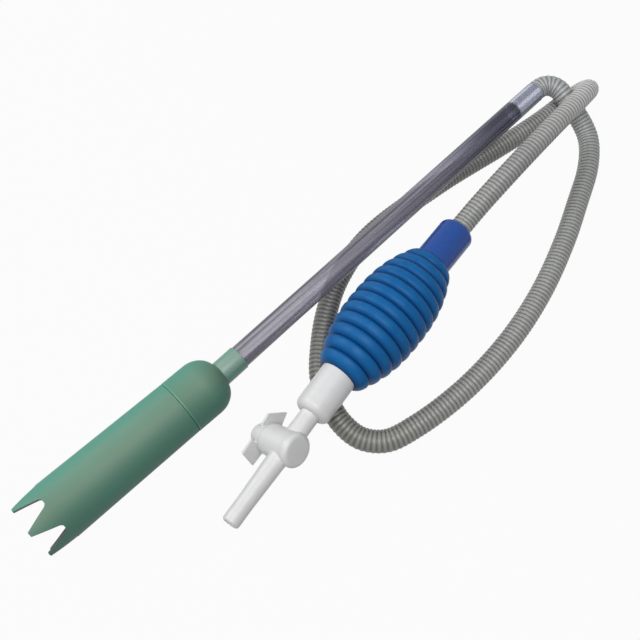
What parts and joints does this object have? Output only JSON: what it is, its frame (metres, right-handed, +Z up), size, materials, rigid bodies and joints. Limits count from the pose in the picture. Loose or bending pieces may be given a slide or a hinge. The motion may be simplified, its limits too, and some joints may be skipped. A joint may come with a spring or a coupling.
{
  "type": "gravel vacuum siphon",
  "caption": "Aquarium gravel cleaner: toothed suction tube on a clear riser, corrugated hose, ribbed hand priming bulb with flap valves, and a stopcock outlet.",
  "frame": {"origin": "on the table under the middle of the rigid parts' box, hose left out", "axes": "+X along the riser from the toothed mouth to the hose end, +Z up from the table"},
  "size_m": [0.5166, 0.1484, 0.0563],
  "materials": {
    "green_tube": "translucent moulded polystyrene, satin",
    "clear_tube": "clear smoke-tinted extruded PVC",
    "cuff_plastic": "milky soft PVC",
    "hose_plastic": "translucent corrugated PVC",
    "blue_collar": "glossy moulded ABS",
    "bulb_rubber": "soft matt moulded PVC",
    "white_plastic": "moulded polypropylene, satin",
    "valve_rubber": "moulded rubber",
    "seal_rubber": "moulded nitrile rubber",
    "clip_plastic": "moulded acetal"
  },
  "bodies": {
    "siphon": {"gravel_tube": "green_tube", "nozzle_cap": "green_tube", "riser_tube": "clear_tube", "hose_cuff": "cuff_plastic", "drain_hose": "hose_plastic", "inlet_collar": "blue_collar", "inlet_valve_seat": "white_plastic", "inlet_valve_cage": "white_plastic", "priming_bulb": "bulb_rubber", "outlet_collar": "white_plastic", "outlet_valve_seat": "white_plastic", "outlet_valve_cage": "white_plastic", "stopcock_body": "white_plastic", "stopcock_cap": "white_plastic"},
    "stopcock_key": {"stopcock_key": "white_plastic", "plug_o_rings": "seal_rubber", "plug_clip": "clip_plastic"},
    "inlet_flap": {"inlet_valve_disc": "valve_rubber"},
    "outlet_flap": {"outlet_valve_disc": "valve_rubber"}
  },
  "joints": [
    {"name": "stopcock_turn", "type": "hinge", "parent": "siphon", "child": "stopcock_key", "pos_m": [-0.09533, -0.03782, 0.0284], "axis": [0.157, -0.8334, 0.5299], "range_deg": [0, 90]},
    {"name": "inlet_valve_lift", "type": "slide", "parent": "siphon", "child": "inlet_flap", "axis": [-0.9908, -0.1352, 0], "range_m": [0, 0.002]},
    {"name": "outlet_valve_lift", "type": "slide", "parent": "siphon", "child": "outlet_flap", "axis": [-0.9827, -0.1852, 0], "range_m": [0, 0.002]}
  ]
}
